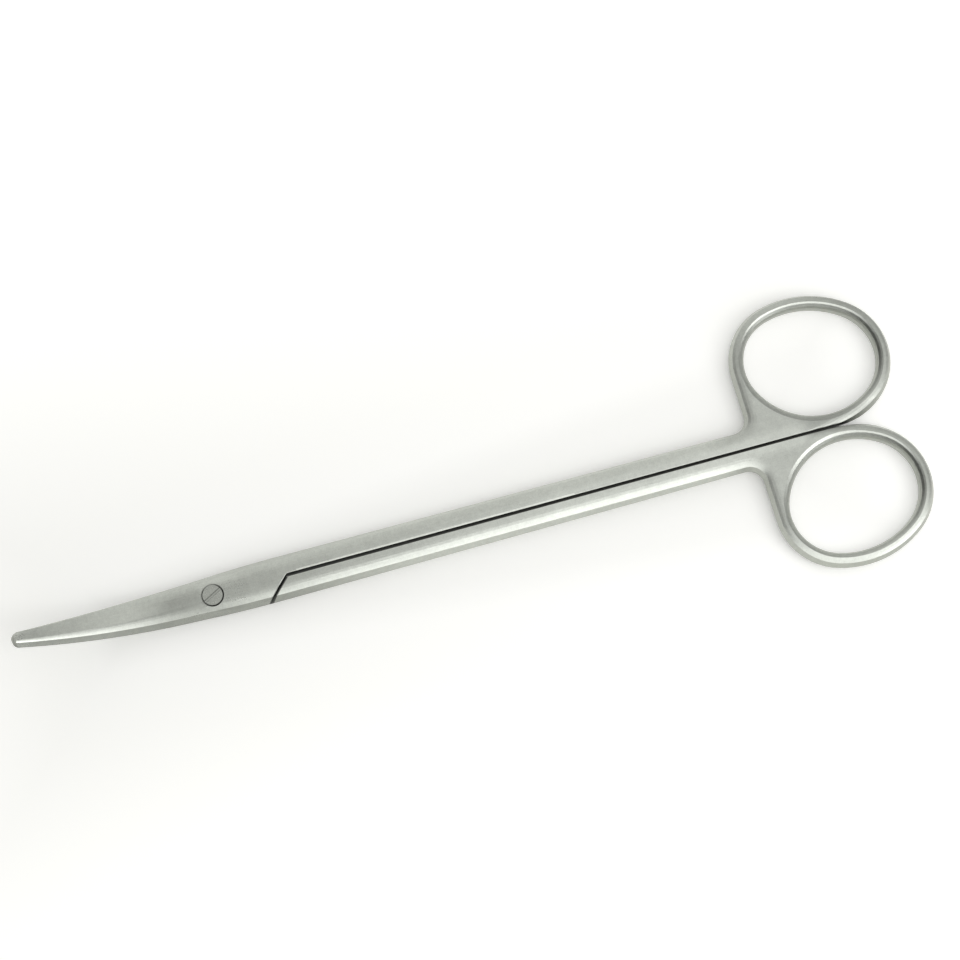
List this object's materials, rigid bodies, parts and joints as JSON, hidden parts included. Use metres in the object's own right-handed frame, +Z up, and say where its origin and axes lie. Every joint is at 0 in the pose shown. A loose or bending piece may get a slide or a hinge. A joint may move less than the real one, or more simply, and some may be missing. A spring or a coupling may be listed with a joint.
{
  "type": "dissecting scissors",
  "caption": "Long-shanked scissors with short, upward-curved, round-tipped blades, a finger ring on each half and a flush slotted pivot screw.",
  "frame": {"origin": "on the pivot screw's axis, at the joint's flat underside", "axes": "+X runs along the closed shanks to the finger rings, +Y to the ring of the upper half, +Z up, the way the blades curve"},
  "size_m": [0.1807, 0.0562, 0.0128],
  "materials": {
    "satin_steel": "satin",
    "screw_steel": "satin"
  },
  "bodies": {
    "lower": {"lower_half": "satin_steel", "pivot_screw": "screw_steel"},
    "upper": {"upper_half": "satin_steel"}
  },
  "joints": [
    {"name": "pivot", "type": "hinge", "parent": "lower", "child": "upper", "pos_m": [0, 0, 0.002], "axis": [0, 0, 1], "range_deg": [0, 60]}
  ]
}
